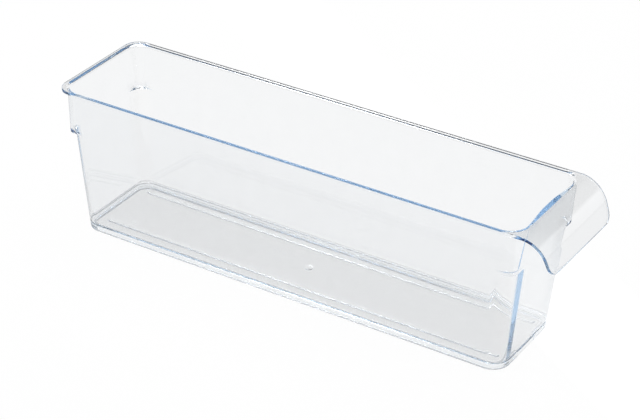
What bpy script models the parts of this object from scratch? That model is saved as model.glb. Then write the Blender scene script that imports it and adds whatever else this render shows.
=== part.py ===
"""Slim clear storage bin with a pull lip, divided into the zones that its mould forms.

The origin is the middle of the box's base. +Z is up, +Y is the rear and the pull lip faces -Y.
"""
import math

import bmesh
import bpy

# Overall sizes, in metres
OVERALL_LENGTH = 0.4000
OVERALL_WIDTH = 0.0950
OVERALL_HEIGHT = 0.1184

# Gap that keeps neighbouring zones apart
ZONE_GAP = 0.0003

# Tub walls
WALL_THICKNESS = 0.0020
BASE_WIDTH = 0.0755
SIDE_OVERHANG = 0.0020
REAR_OVERHANG = 0.0027
REAR_WALL_LEAN = 0.0077
FRONT_WALL_LEAN = 0.0122
LIP_REACH = 0.0262

# Plan radii of the tub's outer corners, from the foot to the rim
CORNER_RADIUS_FOOT = 0.0130
CORNER_RADIUS_UNDER_LEDGE = 0.0163
CORNER_RADIUS_OVER_LEDGE = 0.0065
CORNER_RADIUS_RIM = 0.0145

# Plan radii of the inner corners below the ledges, where the wall is thinner than along the sides
INNER_RADIUS_FOOT = 0.0095
INNER_RADIUS_SHELF = 0.0112

# Stacking ledges in the four corners
LEDGE_HEIGHT = 0.0824
LEDGE_BLEND = 0.0006

# Floor and foot
FLOOR_TOP = 0.0055
FLOOR_UNDERSIDE = 0.0038
FLOOR_FILLET = 0.0015
FOOT_HEIGHT = 0.0034
FOOT_RAIL_THICKNESS = 0.0045
FOOT_STRIP_THICKNESS = 0.0020
FOOT_STRIP_WIDTH = 0.0240
FOOT_EDGE_BREAK = 0.0008

# Rim flange
FLANGE_THICKNESS = 0.0016
FLANGE_CORNER_RADIUS = 0.0120
FLANGE_FRONT_RADIUS = 0.0004
FLANGE_INNER_ROUND = 0.0012
FLANGE_OUTER_ROUND = 0.0005
FRONT_RAIL_DEPTH = 0.0038

# Pull lip
LIP_BEND_START = 0.0010
LIP_BEND_RADIUS = 0.0223
LIP_BEND_DEGREES = 69.7
LIP_THICKNESS = 0.0023
LIP_NARROWING = 0.0039
LIP_CORNER_RADIUS = 0.0085
LIP_EDGE_ROUND = 0.0006

# Ribs and marks under the floor
RIB_SPACING = 0.0488
RIB_WIDTH = 0.0024
RIB_DEPTH = 0.0016
RIB_FRONT_SETBACK = 0.0090
RIB_REAR_SETBACK = 0.0142
RIB_EDGE_ROUND = 0.0004
GATE_RING_RADIUS = 0.0034
GATE_RING_DEPTH = 0.0005
GATE_NUB_RADIUS = 0.0012
GATE_NUB_END_RADIUS = 0.0009
GATE_NUB_DEPTH = 0.0012
DISC_RADIUS = 0.0033
DISC_DEPTH = 0.0005
DISC_REAR_SETBACK = 0.0324
DISC_FROM_RIB = 0.0069
DISC_EDGE_ROUND = 0.00015

# Where the straight walls end and the corner zones start
CORNER_ZONE = 0.0215

# How finely curves are divided
CORNER_STEPS = 12
FILLET_STEPS = 5
EDGE_STEPS = 4
BEND_STEPS = 18
LIP_CORNER_STEPS = 8
LIP_ROWS_ACROSS = 8
ROUND_STEPS = 32
MERGE_DISTANCE = 0.00001

# Clear plastic as the CAD view shows it
CLEAR_COLOR = (0.80, 0.88, 0.94, 1.0)
CLEAR_ROUGHNESS = 0.06
SOFT_SHADE_DEGREES = 35.0
EDGE_DEGREES = 40.0

WALL_TOP = OVERALL_HEIGHT - FLANGE_THICKNESS
REAR_EDGE = OVERALL_LENGTH / 2
FRONT_EDGE = -OVERALL_LENGTH / 2
MOUTH_FRONT = FRONT_EDGE + LIP_REACH

LEFT, RIGHT = -1, 1
FRONT, REAR = -1, 1


def half_width(height):
    """Distance from the middle plane to the outer face of a long wall at this height."""
    base = BASE_WIDTH / 2
    top = OVERALL_WIDTH / 2 - SIDE_OVERHANG
    return base + (top - base) * height / WALL_TOP


def end_face(end, height):
    """Y of the outer face of the front or rear wall at this height."""
    rise_share = height / WALL_TOP
    if end == REAR:
        top = REAR_EDGE - REAR_OVERHANG
        return top - REAR_WALL_LEAN * (1 - rise_share)
    top = MOUTH_FRONT - WALL_THICKNESS
    return top + FRONT_WALL_LEAN * (1 - rise_share)


def on_long_side(side, y):
    """Station on a long wall at a fixed y."""
    def place(height, inset, radius):
        return side * (half_width(height) - inset), y
    return place


def on_short_side(end, x):
    """Station on the front or rear wall at a fixed x."""
    def place(height, inset, radius):
        return x, end_face(end, height) - end * inset
    return place


def on_corner(side, end, turn):
    """Station on a corner, turned from the long wall (0) towards the short wall (a quarter turn)."""
    def place(height, inset, radius):
        centre_x = side * (half_width(height) - radius)
        centre_y = end_face(end, height) - end * radius
        reach = radius - inset
        return centre_x + side * reach * math.cos(turn), centre_y + end * reach * math.sin(turn)
    return place


def corner_stations(side, end):
    """Stations round one corner, from the long wall to the short wall."""
    quarter = math.pi / 2
    return [on_corner(side, end, quarter * step / CORNER_STEPS) for step in range(CORNER_STEPS + 1)]


def wall_radius(height):
    """Plan radius of the outer corner below the ledge."""
    rise_share = height / LEDGE_HEIGHT
    return CORNER_RADIUS_FOOT + (CORNER_RADIUS_UNDER_LEDGE - CORNER_RADIUS_FOOT) * rise_share


def inner_radius(height):
    """Outer radius that runs level with the inner corner below the ledge's shelf."""
    rise_share = height / (LEDGE_HEIGHT + WALL_THICKNESS)
    inner = INNER_RADIUS_FOOT + (INNER_RADIUS_SHELF - INNER_RADIUS_FOOT) * rise_share
    return inner + WALL_THICKNESS


def wall_section():
    """Closed section of the wall as (height, inset, radius), ledge and floor fillet included."""
    low = FOOT_HEIGHT + ZONE_GAP
    high = WALL_TOP - ZONE_GAP
    section = [(low, 0, wall_radius(low))]
    section.append((LEDGE_HEIGHT, 0, CORNER_RADIUS_UNDER_LEDGE))
    section.append((LEDGE_HEIGHT + LEDGE_BLEND, 0, CORNER_RADIUS_OVER_LEDGE))
    section.append((high, 0, CORNER_RADIUS_RIM))
    section.append((high, WALL_THICKNESS, CORNER_RADIUS_RIM))
    shelf = LEDGE_HEIGHT + WALL_THICKNESS
    section.append((shelf + LEDGE_BLEND, WALL_THICKNESS, CORNER_RADIUS_OVER_LEDGE))
    section.append((shelf, WALL_THICKNESS, inner_radius(shelf)))
    for step in range(FILLET_STEPS + 1):
        turn = math.pi / 2 * step / FILLET_STEPS
        height = FLOOR_TOP + FLOOR_FILLET * (1 - math.sin(turn))
        inset = WALL_THICKNESS + FLOOR_FILLET * (1 - math.cos(turn))
        section.append((height, inset, inner_radius(height)))
    section.append((low, WALL_THICKNESS + FLOOR_FILLET, inner_radius(low)))
    return section


def foot_section(thickness):
    """Closed section of a foot this thick as (height, inset, radius), its lower edges broken."""
    high = FOOT_HEIGHT
    broken = FOOT_EDGE_BREAK
    section = [(0, broken), (broken, 0), (high, 0), (high, thickness)]
    section += [(broken, thickness), (0, thickness - broken)]
    return [(height, inset, wall_radius(height)) for height, inset in section]


def finish(name, mesh_data):
    """Name the mesh, face it outwards, shade it and put it in the bin's collection."""
    mesh = bpy.data.meshes.new(name)
    bmesh.ops.recalc_face_normals(mesh_data, faces=mesh_data.faces)
    mesh_data.to_mesh(mesh)
    mesh_data.free()
    part = bpy.data.objects.new(name, mesh)
    bin_collection.objects.link(part)
    shade(part)
    return part


def shade(part):
    """Smooth shading with sharp edges kept, and a clear plastic material of the part's own."""
    mesh = part.data
    mesh.shade_smooth()
    mesh.set_sharp_from_angle(angle=math.radians(SOFT_SHADE_DEGREES))
    material = bpy.data.materials.new(part.name)
    material.use_nodes = True
    surface = material.node_tree.nodes["Principled BSDF"]
    surface.inputs["Base Color"].default_value = CLEAR_COLOR
    surface.inputs["Roughness"].default_value = CLEAR_ROUGHNESS
    surface.inputs["Metallic"].default_value = 0.0
    mesh.materials.clear()
    mesh.materials.append(material)


def skin(mesh_data, rows, close_across, close_along):
    """Faces between rows of corner points, closed across each row and along the rows where asked."""
    verts = [[mesh_data.verts.new(point) for point in row] for row in rows]
    across = len(rows[0])
    last_row = len(rows) if close_along else len(rows) - 1
    last_column = across if close_across else across - 1
    for i in range(last_row):
        near, far = verts[i], verts[(i + 1) % len(rows)]
        for j in range(last_column):
            following = (j + 1) % across
            mesh_data.faces.new((near[j], near[following], far[following], far[j]))
    return verts


def loft_along(name, section, stations):
    """Carry a closed section along the stations and close both ends."""
    mesh_data = bmesh.new()
    rows = []
    for place in stations:
        rows.append([(*place(height, inset, radius), height) for height, inset, radius in section])
    verts = skin(mesh_data, rows, True, False)
    mesh_data.faces.new(verts[0])
    mesh_data.faces.new(verts[-1])
    return finish(name, mesh_data)


def outline(half_x, front_y, rear_y, front_radius, rear_radius, steps):
    """Plan points of a rectangle with its own radius at the front and the rear corners."""
    points = []
    corners = ((RIGHT, REAR, 0.0), (LEFT, REAR, 0.5), (LEFT, FRONT, 1.0), (RIGHT, FRONT, 1.5))
    for side, end, start_share in corners:
        radius = rear_radius if end == REAR else front_radius
        centre_y = rear_y - radius if end == REAR else front_y + radius
        centre_x = side * (half_x - radius)
        for step in range(steps + 1):
            turn = math.pi * (start_share + step / steps / 2)
            points.append((centre_x + radius * math.cos(turn), centre_y + radius * math.sin(turn)))
    return points


def slab(name, points, low, high, edge_round=0):
    """Plate with this outline between two heights, its edges rounded where asked."""
    mesh_data = bmesh.new()
    base = mesh_data.faces.new([mesh_data.verts.new((x, y, low)) for x, y in points])
    raised = bmesh.ops.extrude_face_region(mesh_data, geom=[base])
    top = [item for item in raised["geom"] if isinstance(item, bmesh.types.BMVert)]
    bmesh.ops.translate(mesh_data, verts=top, vec=(0, 0, high - low))
    part = finish(name, mesh_data)
    if edge_round:
        round_edges(part, edge_round)
    return part


def round_edges(part, width):
    """Round the sharp edges of a part by this width."""
    bevel = part.modifiers.new("edge_round", "BEVEL")
    bevel.width = width
    bevel.segments = 2
    bevel.limit_method = "ANGLE"
    bevel.angle_limit = math.radians(EDGE_DEGREES)


def build_walls():
    """The four flat walls and the four corners that carry the stacking ledges."""
    section = wall_section()
    half_gap = ZONE_GAP / 2
    front_cut = end_face(FRONT, 0) + CORNER_ZONE
    rear_cut = end_face(REAR, 0) - CORNER_ZONE
    side_cut = half_width(0) - CORNER_ZONE
    for side, side_name in ((LEFT, "left"), (RIGHT, "right")):
        stations = [on_long_side(side, front_cut + half_gap), on_long_side(side, rear_cut - half_gap)]
        loft_along("wall_" + side_name, section, stations)
    for end, end_name, cut in ((FRONT, "front", front_cut), (REAR, "rear", rear_cut)):
        reach = side_cut - half_gap
        loft_along("wall_" + end_name, section, [on_short_side(end, -reach), on_short_side(end, reach)])
        for side, side_name in ((LEFT, "left"), (RIGHT, "right")):
            stations = [on_long_side(side, cut + end * half_gap)]
            stations += corner_stations(side, end)
            stations.append(on_short_side(end, side * (side_cut + half_gap)))
            loft_along("corner_" + end_name + "_" + side_name, section, stations)


def build_floor():
    """The flat floor plate inside the walls' fillets."""
    inset = WALL_THICKNESS + FLOOR_FILLET + ZONE_GAP
    radius = inner_radius(FLOOR_TOP) - inset
    front_y = end_face(FRONT, FLOOR_UNDERSIDE) + inset
    rear_y = end_face(REAR, FLOOR_UNDERSIDE) - inset
    points = outline(half_width(FLOOR_UNDERSIDE) - inset, front_y, rear_y, radius, radius, CORNER_STEPS)
    slab("tub_floor", points, FLOOR_UNDERSIDE, FLOOR_TOP)


def build_foot():
    """The foot rail under each long side, and between the rails' ends a thin strip in front and a full one behind."""
    section = foot_section(FOOT_RAIL_THICKNESS)
    strip_edge = FOOT_STRIP_WIDTH / 2
    rail_end = strip_edge + ZONE_GAP
    for side, side_name in ((LEFT, "left"), (RIGHT, "right")):
        stations = [on_short_side(FRONT, side * rail_end)]
        stations += corner_stations(side, FRONT)[::-1]
        stations += corner_stations(side, REAR)
        stations.append(on_short_side(REAR, side * rail_end))
        loft_along("foot_rail_" + side_name, section, stations)
    thicknesses = ((FRONT, "front", FOOT_STRIP_THICKNESS), (REAR, "rear", FOOT_RAIL_THICKNESS))
    for end, end_name, thickness in thicknesses:
        section = foot_section(thickness)
        stations = [on_short_side(end, -strip_edge), on_short_side(end, strip_edge)]
        loft_along("foot_strip_" + end_name, section, stations)


def mouth_outline(inset):
    """Plan points of the walls at the rim, moved inwards by the inset."""
    radius = CORNER_RADIUS_RIM - inset
    front_y = end_face(FRONT, WALL_TOP) + inset
    rear_y = end_face(REAR, WALL_TOP) - inset
    return outline(half_width(WALL_TOP) - inset, front_y, rear_y, radius, radius, CORNER_STEPS)


def flange_outline(inset):
    """Plan points of the flange's outer edge, moved inwards by the inset."""
    front_y = MOUTH_FRONT - FRONT_RAIL_DEPTH + inset
    half_x = OVERALL_WIDTH / 2 - inset
    front_radius = FLANGE_FRONT_RADIUS
    rear_radius = FLANGE_CORNER_RADIUS - inset
    return outline(half_x, front_y, REAR_EDGE - inset, front_radius, rear_radius, CORNER_STEPS)


def build_flange():
    """The flat rim round the mouth, with a rounded inner edge and a finer rounded outer edge."""
    rows = [(mouth_outline(WALL_THICKNESS), WALL_TOP)]
    for step in range(EDGE_STEPS + 1):
        turn = math.pi / 2 * step / EDGE_STEPS
        inset = WALL_THICKNESS - FLANGE_INNER_ROUND * (1 - math.cos(turn))
        rows.append((mouth_outline(inset), OVERALL_HEIGHT - FLANGE_INNER_ROUND * (1 - math.sin(turn))))
    for step in range(EDGE_STEPS + 1):
        turn = math.pi / 2 * step / EDGE_STEPS
        inset = FLANGE_OUTER_ROUND * (1 - math.sin(turn))
        rows.append((flange_outline(inset), OVERALL_HEIGHT - FLANGE_OUTER_ROUND * (1 - math.cos(turn))))
    rows.append((flange_outline(0), WALL_TOP))
    mesh_data = bmesh.new()
    skin(mesh_data, [[(x, y, height) for x, y in points] for points, height in rows], True, True)
    finish("rim_flange", mesh_data)


def lip_profile():
    """Outer face of the pull lip as (distance along it, y, height), from its root to its lower edge."""
    bend_y = MOUTH_FRONT - LIP_BEND_START
    root_y = MOUTH_FRONT - FRONT_RAIL_DEPTH - ZONE_GAP
    first = math.asin((bend_y - root_y) / LIP_BEND_RADIUS)
    last = math.radians(LIP_BEND_DEGREES)
    rows = []
    for step in range(BEND_STEPS + 1):
        turn = first + (last - first) * step / BEND_STEPS
        y = bend_y - LIP_BEND_RADIUS * math.sin(turn)
        height = OVERALL_HEIGHT - LIP_BEND_RADIUS * (1 - math.cos(turn))
        rows.append((LIP_BEND_RADIUS * (turn - first), y, height))
    bend_end, y, height = rows[-1]
    straight = (y - FRONT_EDGE) / math.cos(last)
    corner_share = LIP_CORNER_RADIUS / straight
    for step in range(LIP_CORNER_STEPS + 1):
        turn = math.pi / 2 * step / LIP_CORNER_STEPS
        share = 1 - corner_share * (1 - math.sin(turn))
        along = straight * share
        rows.append((bend_end + along, y - along * math.cos(last), height - along * math.sin(last)))
    return rows


def build_lip():
    """The pull lip: a curved plate that narrows to two rounded lower corners."""
    profile = lip_profile()
    whole = profile[-1][0]
    rows = []
    for along, y, height in profile:
        half_x = OVERALL_WIDTH / 2 - LIP_NARROWING * along / whole
        into_corner = along - (whole - LIP_CORNER_RADIUS)
        if into_corner > 0:
            half_x -= LIP_CORNER_RADIUS - math.sqrt(max(LIP_CORNER_RADIUS ** 2 - into_corner ** 2, 0))
        shares = [2 * step / LIP_ROWS_ACROSS - 1 for step in range(LIP_ROWS_ACROSS + 1)]
        rows.append([(half_x * share, y, height) for share in shares])
    mesh_data = bmesh.new()
    skin(mesh_data, rows, False, False)
    part = finish("pull_lip", mesh_data)
    shell = part.modifiers.new("thickness", "SOLIDIFY")
    shell.thickness = LIP_THICKNESS
    faces_up = part.data.polygons[0].normal.z > 0
    shell.offset = -1 if faces_up else 1
    shell.use_even_offset = True
    round_edges(part, LIP_EDGE_ROUND)


def build_ribs():
    """The two straight ribs under the floor, with rounded ends."""
    high = FLOOR_UNDERSIDE - ZONE_GAP
    half_x = RIB_WIDTH / 2
    front_y = end_face(FRONT, 0) + RIB_FRONT_SETBACK
    rear_y = end_face(REAR, 0) - RIB_REAR_SETBACK
    for side, side_name in ((LEFT, "left"), (RIGHT, "right")):
        points = outline(half_x, front_y, rear_y, half_x, half_x, CORNER_STEPS // 2)
        moved = [(x + side * RIB_SPACING / 2, y) for x, y in dict.fromkeys(points)]
        slab("floor_rib_" + side_name, moved, high - RIB_DEPTH, high, RIB_EDGE_ROUND)


def turned(name, profile, centre_x, centre_y):
    """Turn a profile of (radius, height), top to bottom, once round an upright axis at this place."""
    mesh_data = bmesh.new()
    verts = [mesh_data.verts.new((radius, 0, height)) for radius, height in profile]
    for pair in zip(verts, verts[1:]):
        mesh_data.edges.new(pair)
    part = finish(name, mesh_data)
    part.location = (centre_x, centre_y, 0)
    screw = part.modifiers.new("turn", "SCREW")
    screw.steps = ROUND_STEPS
    screw.render_steps = ROUND_STEPS
    screw.use_merge_vertices = True
    screw.merge_threshold = MERGE_DISTANCE
    return part


def build_marks():
    """The gate mark in the middle of the floor and the flat round mark near its rear."""
    high = FLOOR_UNDERSIDE - ZONE_GAP
    ring_low = high - GATE_RING_DEPTH
    nub_low = high - GATE_NUB_DEPTH
    profile = [(0, high), (GATE_RING_RADIUS, high), (GATE_RING_RADIUS, ring_low)]
    profile += [(GATE_NUB_RADIUS, ring_low), (GATE_NUB_END_RADIUS, nub_low), (0, nub_low)]
    turned("gate_mark", profile, 0, (end_face(FRONT, 0) + end_face(REAR, 0)) / 2)
    low = high - DISC_DEPTH
    profile = [(0, high), (DISC_RADIUS, high), (DISC_RADIUS, low + DISC_EDGE_ROUND)]
    profile += [(DISC_RADIUS - DISC_EDGE_ROUND, low), (0, low)]
    beside_rib = DISC_FROM_RIB - RIB_SPACING / 2
    turned("rear_floor_mark", profile, beside_rib, end_face(REAR, 0) - DISC_REAR_SETBACK)


for leftover in list(bpy.data.objects):
    bpy.data.objects.remove(leftover)
bin_collection = bpy.data.collections.new("fridge_bin")
bpy.context.scene.collection.children.link(bin_collection)

build_walls()
build_floor()
build_foot()
build_flange()
build_lip()
build_ribs()
build_marks()
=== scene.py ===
"""Looks of a slim clear fridge bin: one moulded tub with a flat rim, stacking ledges and a pull lip.

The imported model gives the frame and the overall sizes. The moulding is one closed surface. Its rows of
points follow the wall's section, and each row is a loop of stations round the tub. One grid closes the
floor above and another one below. All sizes are in metres.
"""
import logging
import math
from collections.abc import Callable
from dataclasses import dataclass, field
from enum import Enum

import bpy
import numpy as np
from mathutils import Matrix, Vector

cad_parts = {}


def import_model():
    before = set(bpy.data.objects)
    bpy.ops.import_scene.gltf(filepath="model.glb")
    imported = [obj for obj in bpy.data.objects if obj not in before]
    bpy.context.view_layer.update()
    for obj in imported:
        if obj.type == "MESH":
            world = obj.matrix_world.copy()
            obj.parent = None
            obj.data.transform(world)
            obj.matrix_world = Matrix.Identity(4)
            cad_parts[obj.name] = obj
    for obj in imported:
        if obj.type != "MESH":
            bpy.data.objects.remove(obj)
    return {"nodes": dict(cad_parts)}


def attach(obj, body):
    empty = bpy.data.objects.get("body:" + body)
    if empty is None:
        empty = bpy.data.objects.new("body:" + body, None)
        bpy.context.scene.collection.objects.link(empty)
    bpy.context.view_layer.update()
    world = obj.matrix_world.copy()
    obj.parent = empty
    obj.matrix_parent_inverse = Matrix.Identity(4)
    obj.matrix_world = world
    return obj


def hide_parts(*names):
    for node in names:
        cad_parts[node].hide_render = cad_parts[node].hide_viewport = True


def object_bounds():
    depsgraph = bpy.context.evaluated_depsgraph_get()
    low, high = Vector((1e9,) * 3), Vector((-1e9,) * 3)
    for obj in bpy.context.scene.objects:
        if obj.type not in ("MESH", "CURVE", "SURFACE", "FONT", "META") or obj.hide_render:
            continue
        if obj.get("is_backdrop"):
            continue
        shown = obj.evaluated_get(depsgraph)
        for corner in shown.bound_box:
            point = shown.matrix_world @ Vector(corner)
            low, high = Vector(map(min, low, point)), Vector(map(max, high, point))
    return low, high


QUARTER = math.pi / 2
DIAGONAL = math.sqrt(2) - 1
log = logging.getLogger("fridge_bin")


def smooth_step(value: np.ndarray, low: float, high: float) -> np.ndarray:
    """Ease from 0 at low to 1 at high: 3t^2 - 2t^3 of the share t between them.

    Args:
        value: the numbers to ease.
        low: where the step starts.
        high: where it ends.

    Returns:
        An array of shares.
    """
    share = np.clip((value - low) / (high - low), 0, 1)
    return share * share * (3 - 2 * share)


def turns(steps: int) -> np.ndarray:
    """Angles of a quarter turn, both ends included."""
    return np.linspace(0, QUARTER, steps + 1)


class FloorFace(Enum):
    """The floor's two faces."""

    TOP = "top"
    UNDERSIDE = "underside"


@dataclass(frozen=True)
class Stations:
    """Places round a rounded rectangle, counted the same way on every loop of the tub.

    Station j lies at (1 - s) A + s B + r (cos a, sin a), where A and B are centres of corner arcs, s is the
    share of the way from A to B, and a is the way that the wall faces there.
    """

    corner_steps: int = 36
    long_steps: int = 64
    short_steps: int = 26
    break_steps: int = 11

    @property
    def first(self) -> list[int]:
        """Number of each corner's first station."""
        pair = 2 * self.corner_steps + self.short_steps + self.long_steps
        second = self.corner_steps + self.short_steps
        return [0, second, pair, pair + second]

    @property
    def count(self) -> int:
        """How many stations there are."""
        return 2 * (2 * self.corner_steps + self.short_steps + self.long_steps)

    def table(self, short_shares: np.ndarray) -> tuple[np.ndarray, np.ndarray, np.ndarray, np.ndarray]:
        """Corner before, corner after, share between them and facing angle of every station.

        Args:
            short_shares: shares of the short sides' straight stretch, from its first corner to its second.

        Returns:
            Four arrays of one length: two of corner numbers, the shares and the angles.
        """
        before, after, share, angle = [], [], [], []
        long_shares = np.linspace(0, 1, self.long_steps + 1)[1:-1]
        for corner in range(4):
            start = QUARTER * corner
            arc = start + np.linspace(0, QUARTER, self.corner_steps + 1)
            straight = short_shares if corner % 2 == 0 else long_shares
            before.append(np.full(len(arc) + len(straight), corner))
            after.append(np.r_[np.full(len(arc), corner), np.full(len(straight), (corner + 1) % 4)])
            share.append(np.r_[np.zeros(len(arc)), straight])
            angle.append(np.r_[arc, np.full(len(straight), start + QUARTER)])
        return np.concatenate(before), np.concatenate(after), np.concatenate(share), np.concatenate(angle)


@dataclass
class Tub:
    """The drafted tub: its outer planes, corner radii, wall, ledges, floor and foot, in metres."""

    length: float
    width: float
    height: float
    wall: float = 0.0020
    flange: float = 0.0026
    base_width: float = 0.0755
    side_overhang: float = 0.0020
    rear_overhang: float = 0.0027
    rear_lean: float = 0.0077
    front_lean: float = 0.0122
    lip_reach: float = 0.0262
    radius_foot: float = 0.0130
    radius_under_ledge: float = 0.0163
    radius_over_ledge: float = 0.0065
    radius_rim: float = 0.0145
    inner_radius_foot: float = 0.0095
    inner_radius_ledge: float = 0.0112
    ledge_height: float = 0.0824
    ledge_root: float = 0.0004
    ledge_edge: float = 0.0003
    ledge_slope: float = 0.08
    floor_top: float = 0.0055
    floor_underside: float = 0.0038
    floor_fillet: float = 0.0015
    foot_thickness: float = 0.0045
    foot_round: float = 0.0008
    strip_width: float = 0.0240
    strip_thickness: float = 0.0020
    support: float = 0.0003
    ledge_steps: int = 6

    @property
    def wall_top(self) -> float:
        """Height of the flange's underside."""
        return self.height - self.flange

    @property
    def behind_foot(self) -> float:
        """Inset of the flat underside behind the foot and its rounds."""
        return self.foot_thickness + 2 * self.foot_round + self.support

    @property
    def mouth_front(self) -> float:
        """Y of the front wall's inner top edge."""
        return self.lip_reach - self.length / 2

    def planes(self, height: np.ndarray) -> tuple[np.ndarray, np.ndarray, np.ndarray]:
        """Half width, front y and rear y of the outer planes, each a straight line in the height.

        Args:
            height: heights above the foot.

        Returns:
            Three arrays of the height's shape.
        """
        rise = height / self.wall_top
        half_base = self.base_width / 2
        half_top = self.width / 2 - self.side_overhang
        front = self.mouth_front - self.wall + self.front_lean * (1 - rise)
        rear = self.length / 2 - self.rear_overhang - self.rear_lean * (1 - rise)
        return half_base + (half_top - half_base) * rise, front, rear

    def lower_radius(self, height: np.ndarray) -> np.ndarray:
        """Outer corner radius below the ledge, a straight line in the height."""
        return self.radius_foot + (self.radius_under_ledge - self.radius_foot) * height / self.ledge_height

    def inner_radius(self, height: np.ndarray) -> np.ndarray:
        """Corner radius of the inner face below the ledge's shelf, plus the wall: what loops takes.

        Args:
            height: heights above the foot.

        Returns:
            Radii, each a straight line in the height.
        """
        shelf = self.ledge_height + self.wall
        grown = (self.inner_radius_ledge - self.inner_radius_foot) * height / shelf
        return self.inner_radius_foot + grown + self.wall

    def upper_radius(self, height: np.ndarray) -> np.ndarray:
        """Outer corner radius above the ledge, a straight line in the height."""
        share = np.clip((height - self.ledge_height) / (self.height - self.ledge_height), 0, 1)
        return self.radius_over_ledge + (self.radius_rim - self.radius_over_ledge) * share

    def ledge(self, height: float, first_round: float, last_round: float,
              below: Callable[[np.ndarray], np.ndarray]) -> tuple[np.ndarray, np.ndarray]:
        """Heights and outer corner radii up over one ledge.

        On the corner's diagonal the surface turns from upright to level on one arc, runs level, and turns
        back to upright on another. A corner arc of radius R stands R (sqrt 2 - 1) inside the crossing of its
        two walls, so a step of d along the diagonal takes d / (sqrt 2 - 1) off the radius.

        Args:
            height: height of the level stretch.
            first_round: radius of the lower arc.
            last_round: radius of the upper arc.
            below: corner radius at any height below the ledge.

        Returns:
            Heights and radii, bottom to top.
        """
        reach = (below(height) - self.radius_over_ledge) * DIAGONAL
        turn = turns(self.ledge_steps)
        level = np.linspace(first_round, reach - last_round, self.ledge_steps)[1:-1]
        out = np.r_[first_round * (1 - np.cos(turn)), level, reach - last_round + last_round * np.sin(turn)]
        rise = np.r_[first_round * (np.sin(turn) - 1), level * 0, last_round * (1 - np.cos(turn))]
        heights = height + rise + out * self.ledge_slope
        return heights, below(np.minimum(heights, height)) - out / DIAGONAL


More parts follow.
